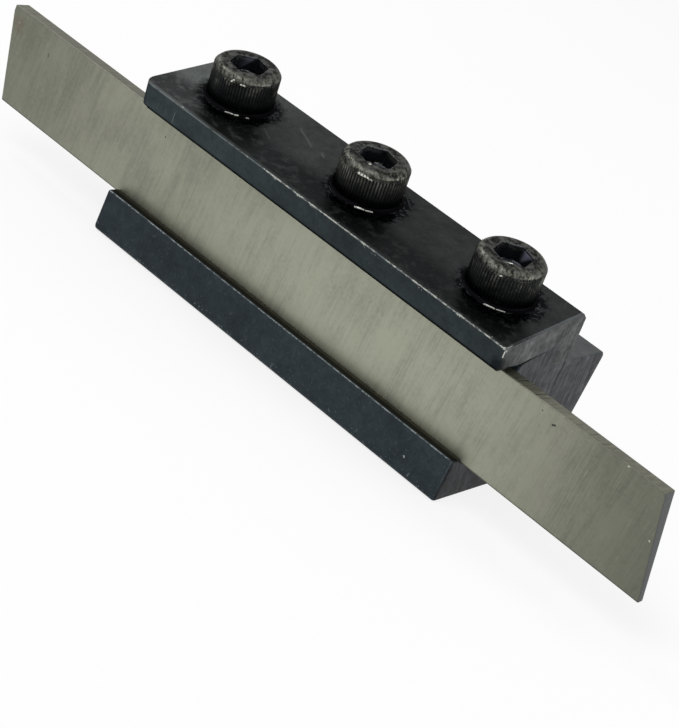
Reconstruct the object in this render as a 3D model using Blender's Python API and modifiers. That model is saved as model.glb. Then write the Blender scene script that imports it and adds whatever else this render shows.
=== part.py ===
# Parting blade holder: a milled steel block that holds a flat cut-off blade on
# edge, a clamp bar hooked over the blade, and three socket head cap screws.
# Metres. +X runs along the blade, +Y to the back of the block, +Z up. The
# origin is the middle of the block's flat base.

import bpy
import bmesh
from math import atan2, cos, hypot, pi, radians, sin, sqrt, tan
from mathutils import Matrix, Vector

# Holder body
HOLDER_LENGTH = 0.0610
HOLDER_DEPTH = 0.0262
STEP_HEIGHT = 0.0180        # rear step, where a tool post screw bears
SEAT_HEIGHT = 0.0052        # floor of the groove that the blade stands in
LIP_DEPTH = 0.0017          # front lip of that groove
LIP_RISE = 0.0008
HOLDER_EDGE = 0.0004
REAR_CORNER_RADIUS = 0.0007

# Blade
BLADE_LENGTH = 0.1120       # along each long edge
BLADE_WIDTH = 0.0127
BLADE_THICKNESS = 0.00238   # of its upper edge, which cuts
BLADE_FOOT = 0.0012         # thickness of its lower edge, as the back leans in
BLADE_SLANT = radians(15.7)  # how far the ground ends lean
BLADE_SHIFT = -0.0004       # the blade stands a little left of the middle
BLADE_CLIP = 0.0007         # nipped upper left tip
BLADE_EDGE = 0.00012

# Clamp bar
CLAMP_OVERRUN = 0.0005      # how much longer it is than the block
CLAMP_SHIFT = -0.0002       # it sits a hair left of the block's middle
CLAMP_WIDTH = 0.0166        # along its sloping top
CLAMP_TILT = radians(11.1)
NOSE_OVERHANG = 0.0007      # the front face stands this far before the lip
NOSE_HEIGHT = 0.0036
NOSE_BEARING = 0.0014       # how far the nose reaches back over the blade
NOSE_STEP = 0.00025
NOSE_ROUNDING = 0.0009      # lower front edge
NOSE_CORNERS = (0.0012, 0.0005)  # lower front corners, left and right
NOSE_CORNER_REACH = 0.0080  # how far back they run, out into the relief
RELIEF_SLOPE = radians(15)
HEEL_WIDTH = 0.0036
HEEL_CHAMFER = 0.0009
CLAMP_EDGE = 0.0003
FRONT_CORNERS = (0.0015, 0.0004)  # upright front corners, left and right
LAND_GAP = 0.00035          # between the relief and the land under it

# Cap screws
SCREW_END_DISTANCE = 0.0084  # from the bar's ends to the outer screws
SCREW_SETBACK = 0.00933     # from the top's front edge to the screws' axes
MIDDLE_HOLE_DRIFT = 0.0004
HEAD_DIAMETER = 0.0088
HEAD_HEIGHT = 0.0050        # above the bar
HEAD_ROUNDING = 0.0006
HEAD_FOOT_CHAMFER = 0.0002
KNURL_TEETH = 68
KNURL_DEPTH = 0.00014
KNURL_MARGIN = 0.0003       # plain band below and above the knurl
SOCKET_FLATS = 0.0040
SOCKET_DEPTH = 0.0026
SOCKET_DRILL = 0.00385      # drilled before the hexagon is broached
SOCKET_LEAD = 0.0002
SHANK_DIAMETER = 0.0050
SHANK_LENGTH = 0.0160
SHANK_CHAMFER = 0.0006

# Fits
CONTACT_GAP = 0.0003        # between faces that touch on the real tool
CLAMP_HOLE_CLEARANCE = 0.0003
TAPPED_HOLE_CLEARANCE = 0.0002
DRILL_RUNOUT = 0.0020       # hole below the screw's tip
DRILL_POINT = radians(118)

# Fineness of round work
HOLE_SIDES = 32
ARC_STEPS = 6
CUTTER_REACH = 0.005        # how far a cutter stands proud of what it cuts

# Places that several pieces share
FRONT = -HOLDER_DEPTH / 2
REAR = HOLDER_DEPTH / 2
LIP_BACK = FRONT + LIP_DEPTH
BLADE_FRONT = LIP_BACK + CONTACT_GAP
BLADE_BACK = BLADE_FRONT + BLADE_THICKNESS
BLADE_BOTTOM = SEAT_HEIGHT + CONTACT_GAP
BLADE_TOP = BLADE_BOTTOM + BLADE_WIDTH
BLADE_TAPER = atan2(BLADE_THICKNESS - BLADE_FOOT, BLADE_WIDTH)
WALL = BLADE_BACK + CONTACT_GAP / cos(BLADE_TAPER)
CLAMP_LENGTH = HOLDER_LENGTH + CLAMP_OVERRUN
NOSE_BOTTOM = BLADE_TOP + CONTACT_GAP
NOSE_BACK = BLADE_FRONT + NOSE_BEARING
NOSE_FOOT = Vector((FRONT - NOSE_OVERHANG, NOSE_BOTTOM))
TOP_DIRECTION = Vector((cos(CLAMP_TILT), sin(CLAMP_TILT)))
UP_DIRECTION = Vector((-sin(CLAMP_TILT), cos(CLAMP_TILT)))
TOP_FRONT = NOSE_FOOT + UP_DIRECTION * NOSE_HEIGHT
SCREW_SEAT = TOP_FRONT + TOP_DIRECTION * SCREW_SETBACK
SCREW_PITCH = CLAMP_LENGTH / 2 - SCREW_END_DISTANCE
SCREW_PLACES = [CLAMP_SHIFT + off for off in (-SCREW_PITCH, MIDDLE_HOLE_DRIFT, SCREW_PITCH)]


def clear_scene():
    for thing in list(bpy.data.objects):
        bpy.data.objects.remove(thing, do_unlink=True)


def new_collection(name):
    found = bpy.data.collections.new(name)
    bpy.context.scene.collection.children.link(found)
    return found


def steel(name, colour, roughness, metallic):
    surface = bpy.data.materials.new(name)
    surface.use_nodes = True
    shader = surface.node_tree.nodes["Principled BSDF"]
    shader.inputs["Base Color"].default_value = (*colour, 1.0)
    shader.inputs["Roughness"].default_value = roughness
    shader.inputs["Metallic"].default_value = metallic
    return surface


def meet(point, direction, other, heading):
    """Where two lines of the section cross."""
    across = direction.x * heading.y - direction.y * heading.x
    offset = other - point
    reach = (offset.x * heading.y - offset.y * heading.x) / across
    return point + direction * reach


def arc(centre, radius, start, end):
    """Points of a round corner, from one angle to the other."""
    turns = [start + (end - start) * step / ARC_STEPS for step in range(ARC_STEPS + 1)]
    return [Vector((centre[0] + radius * cos(a), centre[1] + radius * sin(a))) for a in turns]


def prism(name, outline, thickness, placing, group):
    """A flat closed outline given an even thickness, as a mesh."""
    flat = bpy.data.curves.new(name + "_outline", "CURVE")
    flat.dimensions = "2D"
    flat.fill_mode = "BOTH"
    flat.extrude = thickness / 2
    spline = flat.splines.new("POLY")
    spline.points.add(len(outline) - 1)
    for knot, place in zip(spline.points, outline):
        knot.co = (place[0], place[1], 0.0, 1.0)
    spline.use_cyclic_u = True
    drawn = bpy.data.objects.new(name + "_outline", flat)
    group.objects.link(drawn)
    drawn.matrix_world = placing
    solid = as_mesh(name, drawn, group)
    bpy.data.objects.remove(drawn, do_unlink=True)
    return solid


def as_mesh(name, source, group):
    """A plain, closed mesh object in the place of a curve or a modified object."""
    bpy.context.view_layer.update()
    finished = source.evaluated_get(bpy.context.evaluated_depsgraph_get())
    shape = bpy.data.meshes.new_from_object(finished)
    shape.name = name
    work = bmesh.new()
    work.from_mesh(shape)
    bmesh.ops.remove_doubles(work, verts=work.verts, dist=1e-6)
    bmesh.ops.dissolve_limit(work, angle_limit=radians(0.5), verts=work.verts, edges=work.edges)
    bmesh.ops.recalc_face_normals(work, faces=work.faces)
    work.to_mesh(shape)
    work.free()
    solid = bpy.data.objects.new(name, shape)
    group.objects.link(solid)
    solid.matrix_world = source.matrix_world.copy()
    return solid


def turned(name, profile, steps, group):
    """A profile of (radius, height) points, top to bottom, spun about Z."""
    line = bpy.data.meshes.new(name + "_profile")
    points = [(radius, 0.0, height) for radius, height in profile]
    line.from_pydata(points, [(i, i + 1) for i in range(len(points) - 1)], [])
    spun = bpy.data.objects.new(name + "_profile", line)
    group.objects.link(spun)
    screw = spun.modifiers.new("spin", "SCREW")
    screw.axis = "Z"
    screw.angle = 2 * pi
    screw.steps = steps
    screw.render_steps = steps
    screw.use_merge_vertices = True
    screw.merge_threshold = 1e-6
    solid = as_mesh(name, spun, group)
    bpy.data.objects.remove(spun, do_unlink=True)
    return solid


def hide_as_cutter(tool):
    tool.hide_render = True
    tool.display_type = "WIRE"


def boolean(target, tool, operation):
    cut = target.modifiers.new(operation.lower() + "_" + tool.name, "BOOLEAN")
    cut.operation = operation
    cut.solver = "EXACT"
    cut.object = tool


def soften(target, width, segments):
    edge = target.modifiers.new("soft_edges", "BEVEL")
    edge.width = width
    edge.segments = segments
    edge.limit_method = "ANGLE"
    edge.angle_limit = radians(30)


def section_placing(origin=(0.0, 0.0, 0.0)):
    """Turns a flat outline of (y, z) points to stand across X."""
    turn = Matrix(((0, 0, 1), (1, 0, 0), (0, 1, 0))).to_4x4()
    return Matrix.Translation(origin) @ turn


def relief_height(across):
    return NOSE_BOTTOM + NOSE_STEP + (across - NOSE_BACK) * tan(RELIEF_SLOPE)


def heel_wall(across, height):
    """Where a wall square to the top, so far behind its front edge, comes to a height."""
    level = Vector((1.0, 0.0))
    return meet(Vector((0.0, height)), level, TOP_FRONT + TOP_DIRECTION * across, UP_DIRECTION)


def groove_wall(height):
    """The groove's rear wall leans as the blade's back does."""
    return WALL - (BLADE_TOP - height) * tan(BLADE_TAPER)


def holder_outline():
    relief = Vector((NOSE_BACK, relief_height(NOSE_BACK)))
    slope = Vector((cos(RELIEF_SLOPE), sin(RELIEF_SLOPE)))
    land = relief - Vector((0.0, LAND_GAP))
    behind_land = CLAMP_WIDTH - HEEL_WIDTH - CONTACT_GAP
    land_back = meet(land, slope, TOP_FRONT + TOP_DIRECTION * behind_land, UP_DIRECTION)
    land_front = relief_height(WALL) - LAND_GAP
    heel_seat = STEP_HEIGHT - CONTACT_GAP
    heel_back = heel_wall(CLAMP_WIDTH, STEP_HEIGHT).x + CONTACT_GAP
    corner = (REAR - REAR_CORNER_RADIUS, STEP_HEIGHT - REAR_CORNER_RADIUS)
    return [
        (FRONT, 0.0),
        (REAR, 0.0),
        *arc(corner, REAR_CORNER_RADIUS, 0.0, pi / 2),
        (heel_back, STEP_HEIGHT),
        (heel_back, heel_seat),
        heel_wall(behind_land, heel_seat),
        land_back,
        (groove_wall(land_front), land_front),
        (groove_wall(SEAT_HEIGHT), SEAT_HEIGHT),
        (LIP_BACK, SEAT_HEIGHT),
        (LIP_BACK, SEAT_HEIGHT + LIP_RISE),
        (FRONT, SEAT_HEIGHT + LIP_RISE),
    ]


def hole_cutter(name, radius, depth, group):
    """A drill standing in the screw's place, its mouth above the clamp."""
    tip = radius / tan(DRILL_POINT / 2)
    profile = [
        (0.0, CUTTER_REACH),
        (radius, CUTTER_REACH),
        (radius, -depth),
        (0.0, -depth - tip),
    ]
    tool = turned(name, profile, HOLE_SIDES, group)
    hide_as_cutter(tool)
    return tool


def build_holder(parts, cutters):
    body = prism("holder_body", holder_outline(), HOLDER_LENGTH, section_placing(), parts)
    soften(body, HOLDER_EDGE, 2)
    radius = SHANK_DIAMETER / 2 + TAPPED_HOLE_CLEARANCE
    for index, along in enumerate(SCREW_PLACES, start=1):
        tool = hole_cutter(f"tapping_drill_{index}", radius, SHANK_LENGTH + DRILL_RUNOUT, cutters)
        tool.location = (along, SCREW_SEAT.x, SCREW_SEAT.y)
        tool.rotation_euler = (CLAMP_TILT, 0.0, 0.0)
        boolean(body, tool, "DIFFERENCE")
    return body


def build_blade(parts, cutters):
    section = [
        (BLADE_FRONT, BLADE_BOTTOM),
        (BLADE_FRONT + BLADE_FOOT, BLADE_BOTTOM),
        (BLADE_BACK, BLADE_TOP),
        (BLADE_FRONT, BLADE_TOP),
    ]
    blade = prism("parting_blade", section, BLADE_LENGTH + BLADE_WIDTH, section_placing(), parts)
    lean = BLADE_WIDTH / 2 * tan(BLADE_SLANT)
    half = BLADE_LENGTH / 2
    low = -BLADE_WIDTH / 2
    high = BLADE_WIDTH / 2
    clip = BLADE_CLIP
    outline = [
        (lean - half, low),
        (lean + half, low),
        (half - lean, high),
        (clip - half - lean, high),
        (clip * tan(BLADE_SLANT) - half - lean, high - clip),
    ]
    middle = Matrix.Translation((BLADE_SHIFT, BLADE_FRONT, BLADE_BOTTOM + BLADE_WIDTH / 2))
    stand = middle @ Matrix.Rotation(pi / 2, 4, "X")
    ends = prism("blade_ends", outline, 2 * CUTTER_REACH, stand, cutters)
    hide_as_cutter(ends)
    boolean(blade, ends, "INTERSECT")
    soften(blade, BLADE_EDGE, 1)
    return blade


def clamp_section():
    """The bar's section about the screws' seat, square to its sloping top."""
    slope = Vector((cos(RELIEF_SLOPE), sin(RELIEF_SLOPE)))
    relief = Vector((NOSE_BACK, relief_height(NOSE_BACK)))
    heel_front = CLAMP_WIDTH - HEEL_WIDTH
    top_back = TOP_FRONT + TOP_DIRECTION * CLAMP_WIDTH
    roundness = NOSE_ROUNDING
    nose_centre = Vector((NOSE_FOOT.x + roundness * (1 - tan(CLAMP_TILT)), NOSE_BOTTOM + roundness))
    corners = [
        *arc(nose_centre, roundness, pi + CLAMP_TILT, 1.5 * pi),
        Vector((NOSE_BACK, NOSE_BOTTOM)),
        relief,
        meet(relief, slope, TOP_FRONT + TOP_DIRECTION * heel_front, UP_DIRECTION),
        heel_wall(heel_front, STEP_HEIGHT),
        heel_wall(CLAMP_WIDTH, STEP_HEIGHT),
        top_back - UP_DIRECTION * HEEL_CHAMFER,
        top_back - TOP_DIRECTION * HEEL_CHAMFER,
        TOP_FRONT,
    ]
    offsets = [corner - SCREW_SEAT for corner in corners]
    return [(offset.dot(TOP_DIRECTION), offset.dot(UP_DIRECTION)) for offset in offsets]


def clamp_plan():
    """The bar seen from above its top, with its round upright front corners."""
    half = CLAMP_LENGTH / 2
    nose = -SCREW_SETBACK
    back = CLAMP_WIDTH - SCREW_SETBACK + CUTTER_REACH
    left, right = FRONT_CORNERS
    return [
        *arc((left - half, nose + left), left, pi, 1.5 * pi),
        *arc((half - right, nose + right), right, -pi / 2, 0.0),
        (half, back),
        (-half, back),
    ]


def corner_cutter(name, side, radius, group):
    """Takes the lower front corner off the bar's nose; side is -1 left, 1 right."""
    end = side * CLAMP_LENGTH / 2
    centre = (end - side * radius, NOSE_BOTTOM + radius)
    start = 1.5 * pi
    outline = [
        *arc(centre, radius, start, start + side * pi / 2),
        (end + side * CUTTER_REACH, NOSE_BOTTOM + radius),
        (end + side * CUTTER_REACH, NOSE_BOTTOM - CUTTER_REACH),
        (end - side * radius, NOSE_BOTTOM - CUTTER_REACH),
    ]
    depth = CUTTER_REACH + NOSE_CORNER_REACH
    middle = NOSE_FOOT.x + NOSE_CORNER_REACH - depth / 2
    placing = Matrix.Translation((CLAMP_SHIFT, middle, 0.0)) @ Matrix.Rotation(pi / 2, 4, "X")
    tool = prism(name, outline, depth, placing, group)
    hide_as_cutter(tool)
    return tool


def build_clamp(parts, cutters):
    seat = (CLAMP_SHIFT, SCREW_SEAT.x, SCREW_SEAT.y)
    tilt = Matrix.Translation(seat) @ Matrix.Rotation(CLAMP_TILT, 4, "X")
    clamp = prism("clamp_bar", clamp_section(), CLAMP_LENGTH, tilt @ section_placing(), parts)
    plan = prism("clamp_plan", clamp_plan(), 2 * CLAMP_WIDTH, tilt, cutters)
    hide_as_cutter(plan)
    boolean(clamp, plan, "INTERSECT")
    for side, radius in zip((-1, 1), NOSE_CORNERS):
        tool = corner_cutter(f"nose_corner_{side}", side, radius, cutters)
        boolean(clamp, tool, "DIFFERENCE")
    soften(clamp, CLAMP_EDGE, 2)
    radius = SHANK_DIAMETER / 2 + CLAMP_HOLE_CLEARANCE
    for index, along in enumerate(SCREW_PLACES, start=1):
        tool = hole_cutter(f"clearance_drill_{index}", radius, CLAMP_WIDTH, cutters)
        tool.location = (along, SCREW_SEAT.x, SCREW_SEAT.y)
        tool.rotation_euler = (CLAMP_TILT, 0.0, 0.0)
        boolean(clamp, tool, "DIFFERENCE")
    return clamp


def head_profile():
    """Half section of a cap screw, head to tip, about the bar's top face."""
    head = HEAD_DIAMETER / 2
    shank = SHANK_DIAMETER / 2
    rounding = arc((head - HEAD_ROUNDING, HEAD_HEIGHT - HEAD_ROUNDING), HEAD_ROUNDING, pi / 2, 0.0)
    return [
        (0.0, HEAD_HEIGHT),
        *[(point.x, point.y) for point in rounding],
        (head, HEAD_HEIGHT - HEAD_ROUNDING - KNURL_MARGIN),
        (head, CONTACT_GAP + HEAD_FOOT_CHAMFER + KNURL_MARGIN),
        (head, CONTACT_GAP + HEAD_FOOT_CHAMFER),
        (head - HEAD_FOOT_CHAMFER, CONTACT_GAP),
        (shank, CONTACT_GAP),
        (shank, SHANK_CHAMFER - SHANK_LENGTH),
        (shank - SHANK_CHAMFER, -SHANK_LENGTH),
        (0.0, -SHANK_LENGTH),
    ]


def knurl(shape):
    """Pulls every second column of the head's side in between the margins."""
    low = CONTACT_GAP + HEAD_FOOT_CHAMFER + KNURL_MARGIN / 2
    high = HEAD_HEIGHT - HEAD_ROUNDING - KNURL_MARGIN / 2
    head = HEAD_DIAMETER / 2
    for corner in shape.vertices:
        radius = hypot(corner.co.x, corner.co.y)
        column = round(atan2(corner.co.y, corner.co.x) / (pi / KNURL_TEETH))
        on_side = low < corner.co.z < high and radius > head - KNURL_DEPTH
        if on_side and column % 2:
            corner.co.x *= 1 - KNURL_DEPTH / head
            corner.co.y *= 1 - KNURL_DEPTH / head


def socket_cutters(cutters):
    """The hexagon with its drilled bottom, and the small lead at its mouth."""
    corner = SOCKET_FLATS / sqrt(3)
    work = bmesh.new()
    depth = SOCKET_DEPTH + CUTTER_REACH
    centre = Matrix.Translation((0.0, 0.0, HEAD_HEIGHT - SOCKET_DEPTH + depth / 2))
    bmesh.ops.create_cone(work, cap_ends=True, segments=6, radius1=corner, radius2=corner,
                          depth=depth, matrix=centre)
    shape = bpy.data.meshes.new("hexagon")
    work.to_mesh(shape)
    work.free()
    hexagon = bpy.data.objects.new("hexagon", shape)
    cutters.objects.link(hexagon)
    drilled = SOCKET_DRILL / 2
    bottom = HEAD_HEIGHT - SOCKET_DEPTH
    drill = turned("socket_drill", [
        (0.0, HEAD_HEIGHT + CUTTER_REACH),
        (corner + SOCKET_LEAD + CUTTER_REACH, HEAD_HEIGHT + CUTTER_REACH),
        (corner - SOCKET_LEAD, HEAD_HEIGHT - 2 * SOCKET_LEAD),
        (drilled, HEAD_HEIGHT - 3 * SOCKET_LEAD),
        (drilled, bottom),
        (0.0, bottom - drilled / tan(DRILL_POINT / 2)),
    ], HOLE_SIDES, cutters)
    hide_as_cutter(hexagon)
    hide_as_cutter(drill)
    return hexagon, drill


def build_screws(parts, cutters, clamp):
    blank = turned("screw_blank", head_profile(), 2 * KNURL_TEETH, cutters)
    knurl(blank.data)
    for tool in socket_cutters(cutters):
        boolean(blank, tool, "DIFFERENCE")
    finished = as_mesh("cap_screw", blank, cutters)
    shape = finished.data
    bpy.data.objects.remove(finished, do_unlink=True)
    hide_as_cutter(blank)
    screws = []
    for index, along in enumerate(SCREW_PLACES, start=1):
        screw = bpy.data.objects.new(f"clamp_screw_{index}", shape)
        parts.objects.link(screw)
        screw.parent = clamp
        screw.matrix_parent_inverse = clamp.matrix_world.inverted()
        screw.rotation_euler = (CLAMP_TILT, 0.0, 0.0)
        screw.location = (along, SCREW_SEAT.x, SCREW_SEAT.y)
        screws.append(screw)
    return screws


def shade(target, surface):
    target.data.materials.clear()
    target.data.materials.append(surface)
    target.data.shade_smooth()
    target.data.set_sharp_from_angle(angle=radians(30))


def build():
    clear_scene()
    parts = new_collection("parting_blade_holder")
    cutters = new_collection("cutters")
    oxide = steel("black_oxide_steel", (0.035, 0.042, 0.047), 0.42, 0.85)
    ground = steel("ground_tool_steel", (0.34, 0.34, 0.28), 0.38, 1.0)
    screw_black = steel("screw_black_oxide", (0.03, 0.03, 0.032), 0.35, 0.9)
    holder = build_holder(parts, cutters)
    blade = build_blade(parts, cutters)
    clamp = build_clamp(parts, cutters)
    screws = build_screws(parts, cutters, clamp)
    shade(holder, oxide)
    shade(clamp, oxide)
    shade(blade, ground)
    for screw in screws:
        shade(screw, screw_black)


build()
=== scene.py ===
# Looks of a parting blade holder: a milled block with a cut-off blade on edge in its
# groove, a sloping clamp bar hooked over the blade, and three socket head cap screws.
from contextlib import contextmanager
from math import cos, hypot, pi, radians, sin, sqrt, tan
import bpy
import bmesh
from mathutils import Matrix, Vector


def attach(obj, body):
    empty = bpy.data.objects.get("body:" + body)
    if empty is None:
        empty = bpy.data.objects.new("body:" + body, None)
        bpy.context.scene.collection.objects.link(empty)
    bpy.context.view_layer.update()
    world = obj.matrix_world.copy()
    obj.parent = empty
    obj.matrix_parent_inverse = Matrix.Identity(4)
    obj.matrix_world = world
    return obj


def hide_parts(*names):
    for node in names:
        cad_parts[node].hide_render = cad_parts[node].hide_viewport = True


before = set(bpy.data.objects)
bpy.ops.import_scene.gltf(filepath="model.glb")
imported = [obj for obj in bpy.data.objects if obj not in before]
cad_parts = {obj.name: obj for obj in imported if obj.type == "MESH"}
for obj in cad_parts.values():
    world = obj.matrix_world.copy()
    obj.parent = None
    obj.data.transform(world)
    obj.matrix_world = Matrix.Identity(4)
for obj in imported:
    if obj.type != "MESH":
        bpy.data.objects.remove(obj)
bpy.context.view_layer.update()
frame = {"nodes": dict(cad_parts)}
scene = bpy.context.scene
mm = 0.001  # sizes are given in millimetres, and each mesh is scaled once it is made
angles = {"flat": 0.5, "fold": 32, "crease": 38}  # degrees between faces
slack = 0.01  # for telling whether a place lies on a face
print("frame loaded:", ", ".join(frame["nodes"]))


def newObject(name, shape):
    made = bpy.data.objects.new(name, shape)
    scene.collection.objects.link(made)
    return made


# the camera was fitted to the edges of the block, the bar and the blade; its place is
# in metres, and the lens and the sensor are in millimetres
camera = {
    "place": (0.11081, -0.19780, 0.10146),
    "right": (0.7073, 0.5843, 0.3979),
    "forward": (-0.4321, 0.8026, -0.4112),
    "lens": 94.58,
    "sensor": 36.0,
}


def placeCamera(look):
    right = Vector(look["right"]).normalized()
    back = -Vector(look["forward"])
    back = (back - right * back.dot(right)).normalized()
    lens = bpy.data.cameras.new("camera")
    lens.lens = look["lens"]
    lens.sensor_width = look["sensor"]
    lens.clip_start = 0.01
    eye = newObject("camera", lens)
    turn = Matrix((right, back.cross(right), back)).transposed().to_4x4()
    eye.matrix_world = Matrix.Translation(look["place"]) @ turn
    scene.camera = eye


placeCamera(camera)


# mesh tools, all in millimetres
def dropObject(thing):
    bpy.data.objects.remove(thing, do_unlink=True)


@contextmanager
def editing(thing):
    work = bmesh.new()
    work.from_mesh(thing.data)
    yield work
    work.to_mesh(thing.data)
    work.free()


def polar(radius, angle, height):
    return Vector((radius * cos(angle), radius * sin(angle), height))


def solidFrom(work, name, placing):
    bmesh.ops.remove_doubles(work, verts=work.verts, dist=1e-5)
    bmesh.ops.recalc_face_normals(work, faces=work.faces)
    shape = bpy.data.meshes.new(name)
    work.to_mesh(shape)
    work.free()
    shape.transform(placing)
    return newObject(name, shape)


def prism(name, outline, low, high, placing):
    work = bmesh.new()
    first = [work.verts.new((u, v, low)) for u, v in outline]
    last = [work.verts.new((u, v, high)) for u, v in outline]
    work.faces.new(first)
    work.faces.new(last)
    for a in range(len(outline)):
        b = (a + 1) % len(outline)
        work.faces.new((first[a], first[b], last[b], last[a]))
    return solidFrom(work, name, placing)


def turned(name, profile, steps, placing):
    work = bmesh.new()
    rings = []
    for radius, height in profile:
        if radius == 0:
            rings.append([work.verts.new((0, 0, height))] * steps)
            continue
        angles = [2 * pi * step / steps for step in range(steps)]
        rings.append([work.verts.new(polar(radius, angle, height)) for angle in angles])
    for upper, lower in zip(rings, rings[1:]):
        for a in range(steps):
            b = (a + 1) % steps
            corners = list(dict.fromkeys((upper[a], upper[b], lower[b], lower[a])))
            work.faces.new(corners)
    return solidFrom(work, name, placing)


def arc(centre, radius, start, end, steps=6):
    turns = [start + (end - start) * step / steps for step in range(steps + 1)]
    return [(centre[0] + radius * cos(a), centre[1] + radius * sin(a)) for a in turns]


def settleModifiers(thing):
    bpy.context.view_layer.update()
    depsgraph = bpy.context.evaluated_depsgraph_get()
    shape = bpy.data.meshes.new_from_object(thing.evaluated_get(depsgraph))
    thing.modifiers.clear()
    thing.data = shape


def combine(thing, tools, operation):
    for tool in tools:
        cut = thing.modifiers.new("cut", "BOOLEAN")
        cut.operation = operation
        cut.solver = "EXACT"
        cut.object = tool
    settleModifiers(thing)
    for tool in tools:
        dropObject(tool)


def roundEdges(thing, width, segments, chosen=lambda edge: True):
    with editing(thing) as work:
        bmesh.ops.remove_doubles(work, verts=work.verts, dist=1e-4)
        bmesh.ops.dissolve_limit(work, angle_limit=radians(angles["flat"]), verts=work.verts,
                                 edges=work.edges)
        shared = [edge for edge in work.edges if len(edge.link_faces) == 2]
        sharp = [edge for edge in shared
                 if edge.calc_face_angle() > radians(angles["fold"]) and chosen(edge)]
        bmesh.ops.bevel(work, geom=sharp, offset=width, segments=segments, profile=0.5,
                        affect="EDGES", clamp_overlap=True, loop_slide=True)


def finishPiece(thing, material):
    with editing(thing) as work:
        bmesh.ops.recalc_face_normals(work, faces=work.faces)
    shape = thing.data
    shape.transform(Matrix.Scale(mm, 4))
    shape.materials.clear()
    shape.materials.append(material)
    shape.shade_smooth()
    shape.set_sharp_from_angle(angle=radians(angles["crease"]))
    weighted = thing.modifiers.new("even shading", "WEIGHTED_NORMAL")
    weighted.keep_sharp = True
    weighted.weight = 90
    settleModifiers(thing)


def ridePiece(thing, node, body):
    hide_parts(node)
    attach(thing, body)


# The block, the bar and the screws. Places across and up are in the frame of the block, and
# setbacks and heights on the bar are square to its slope
block = {
    "front": -13.1, "rear": 13.1, "left": -30.5, "right": 30.5,
    "step": 18.0, "lipTop": 6.0, "lipBack": -11.12, "seat": 5.47, "wallGap": 0.03,
    "rearRound": 0.9, "edge": 0.3, "wornEdge": 0.8,
    "landDrop": 0.25, "landTouch": -4.2, "landGap": 0.01, "heelGap": 0.004,
    "holeRadius": 2.62, "holeDepth": 18.0, "drillPoint": 118, "drillTop": 5.0,
    "covered": (-8.9, 3.0), "coveredAbove": 17.5,
}
bar = {
    "left": -30.95, "right": 30.51, "tilt": 11.1, "width": 16.6,
    "topFront": (-14.488, 22.033), "under": 18.6, "noseRound": 1.0, "noseBack": -11.6,
    "reliefSlope": 13.9, "heel": 3.6, "heelBottom": 18.004, "heelChamfer": 0.9,
    "uprightLeft": (1.5, 2.0), "uprightRight": (0.3, 0.3), "lowerLeft": 1.6, "lowerRight": 0.4,
    "noseFoot": 18.95, "cornerZone": (6.0, 20.0), "cornerReach": 5.0, "planReach": 20.0,
    "edge": 0.36, "holeRadius": 2.8, "drillReach": 9.0, "hiddenBelow": -1.3,
    "hiddenSetback": (4.2, 16.4),
}
screws = {
    "axes": (-22.55, 0.20, 22.15), "setback": 9.33, "sockets": (47.9, 44.5, 39.9),
    "head": 8.8, "height": 5.0, "foot": 0.03, "round": 0.95, "rimBand": 0.12, "toothRise": 0.34,
    "core": 4.2, "rimInset": 0.04, "footEdge": 0.12, "clear": 3.0,
    "teeth": 66, "toothSize": 0.24, "toothWidth": 1.45, "toothBottom": 0.3,
    "flats": 4.45, "depth": 2.6, "mouthEdge": 0.09,
    "poolRise": 0.55, "poolLift": 0.03, "poolBite": 0.02, "poolDepth": 0.3,
    "neck": 2.5, "neckEnd": -1.2, "neckTaper": 0.4, "tip": -16.0, "tipEdge": 0.5,
    "threadRoot": 2.06, "threadSize": 0.42, "pitch": 0.8, "threadTurns": 17, "threadStart": 0.7,
    "threadSteps": 20, "steps": 136, "holeSteps": 40, "poolSteps": 60,
}
tilt = radians(bar["tilt"])
topWay = Vector((cos(tilt), sin(tilt)))
upWay = Vector((-sin(tilt), cos(tilt)))
topFront = Vector(bar["topFront"])
seat = topFront + topWay * screws["setback"]
alongSection = Matrix(((0, 0, 1, 0), (1, 0, 0, 0), (0, 1, 0, 0), (0, 0, 0, 1)))


def screwPlacing(along):
    return Matrix.Translation((along, seat.x, seat.y)) @ Matrix.Rotation(tilt, 4, "X")


def onScrew(number, radius, degrees, height):
    spot = polar(radius, radians(degrees), height)
    return tuple(screwPlacing(screws["axes"][number - 1]) @ spot)


def onTop(along, setback, drop=0.0):
    across = topFront + topWay * setback - upWay * drop
    return (along, across.x, across.y)


def crossing(point, way, other, heading):
    across = way.x * heading.y - way.y * heading.x
    offset = other - point
    return point + way * ((offset.x * heading.y - offset.y * heading.x) / across)


def relief(across):
    return bar["under"] + (across - bar["noseBack"]) * tan(radians(bar["reliefSlope"]))


def squareLine(setback, height):
    level = Vector((1.0, 0.0))
    return crossing(Vector((0.0, height)), level, topFront + topWay * setback, upWay)


def reliefEnd(setback, drop):
    slope = Vector((1.0, tan(radians(bar["reliefSlope"]))))
    start = Vector((bar["noseBack"], relief(bar["noseBack"]) - drop))
    return crossing(start, slope, topFront + topWay * setback, upWay)


def grooveWall(height):
    lean = (blade["back"] - blade["footBack"]) / blade["width"]
    return blade["back"] + block["wallGap"] - (blade["top"] - height) * lean


def drillHoles(made, profile):
    tools = [turned("drill", profile, screws["holeSteps"], screwPlacing(along))
             for along in screws["axes"]]
    combine(made, tools, "DIFFERENCE")


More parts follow.
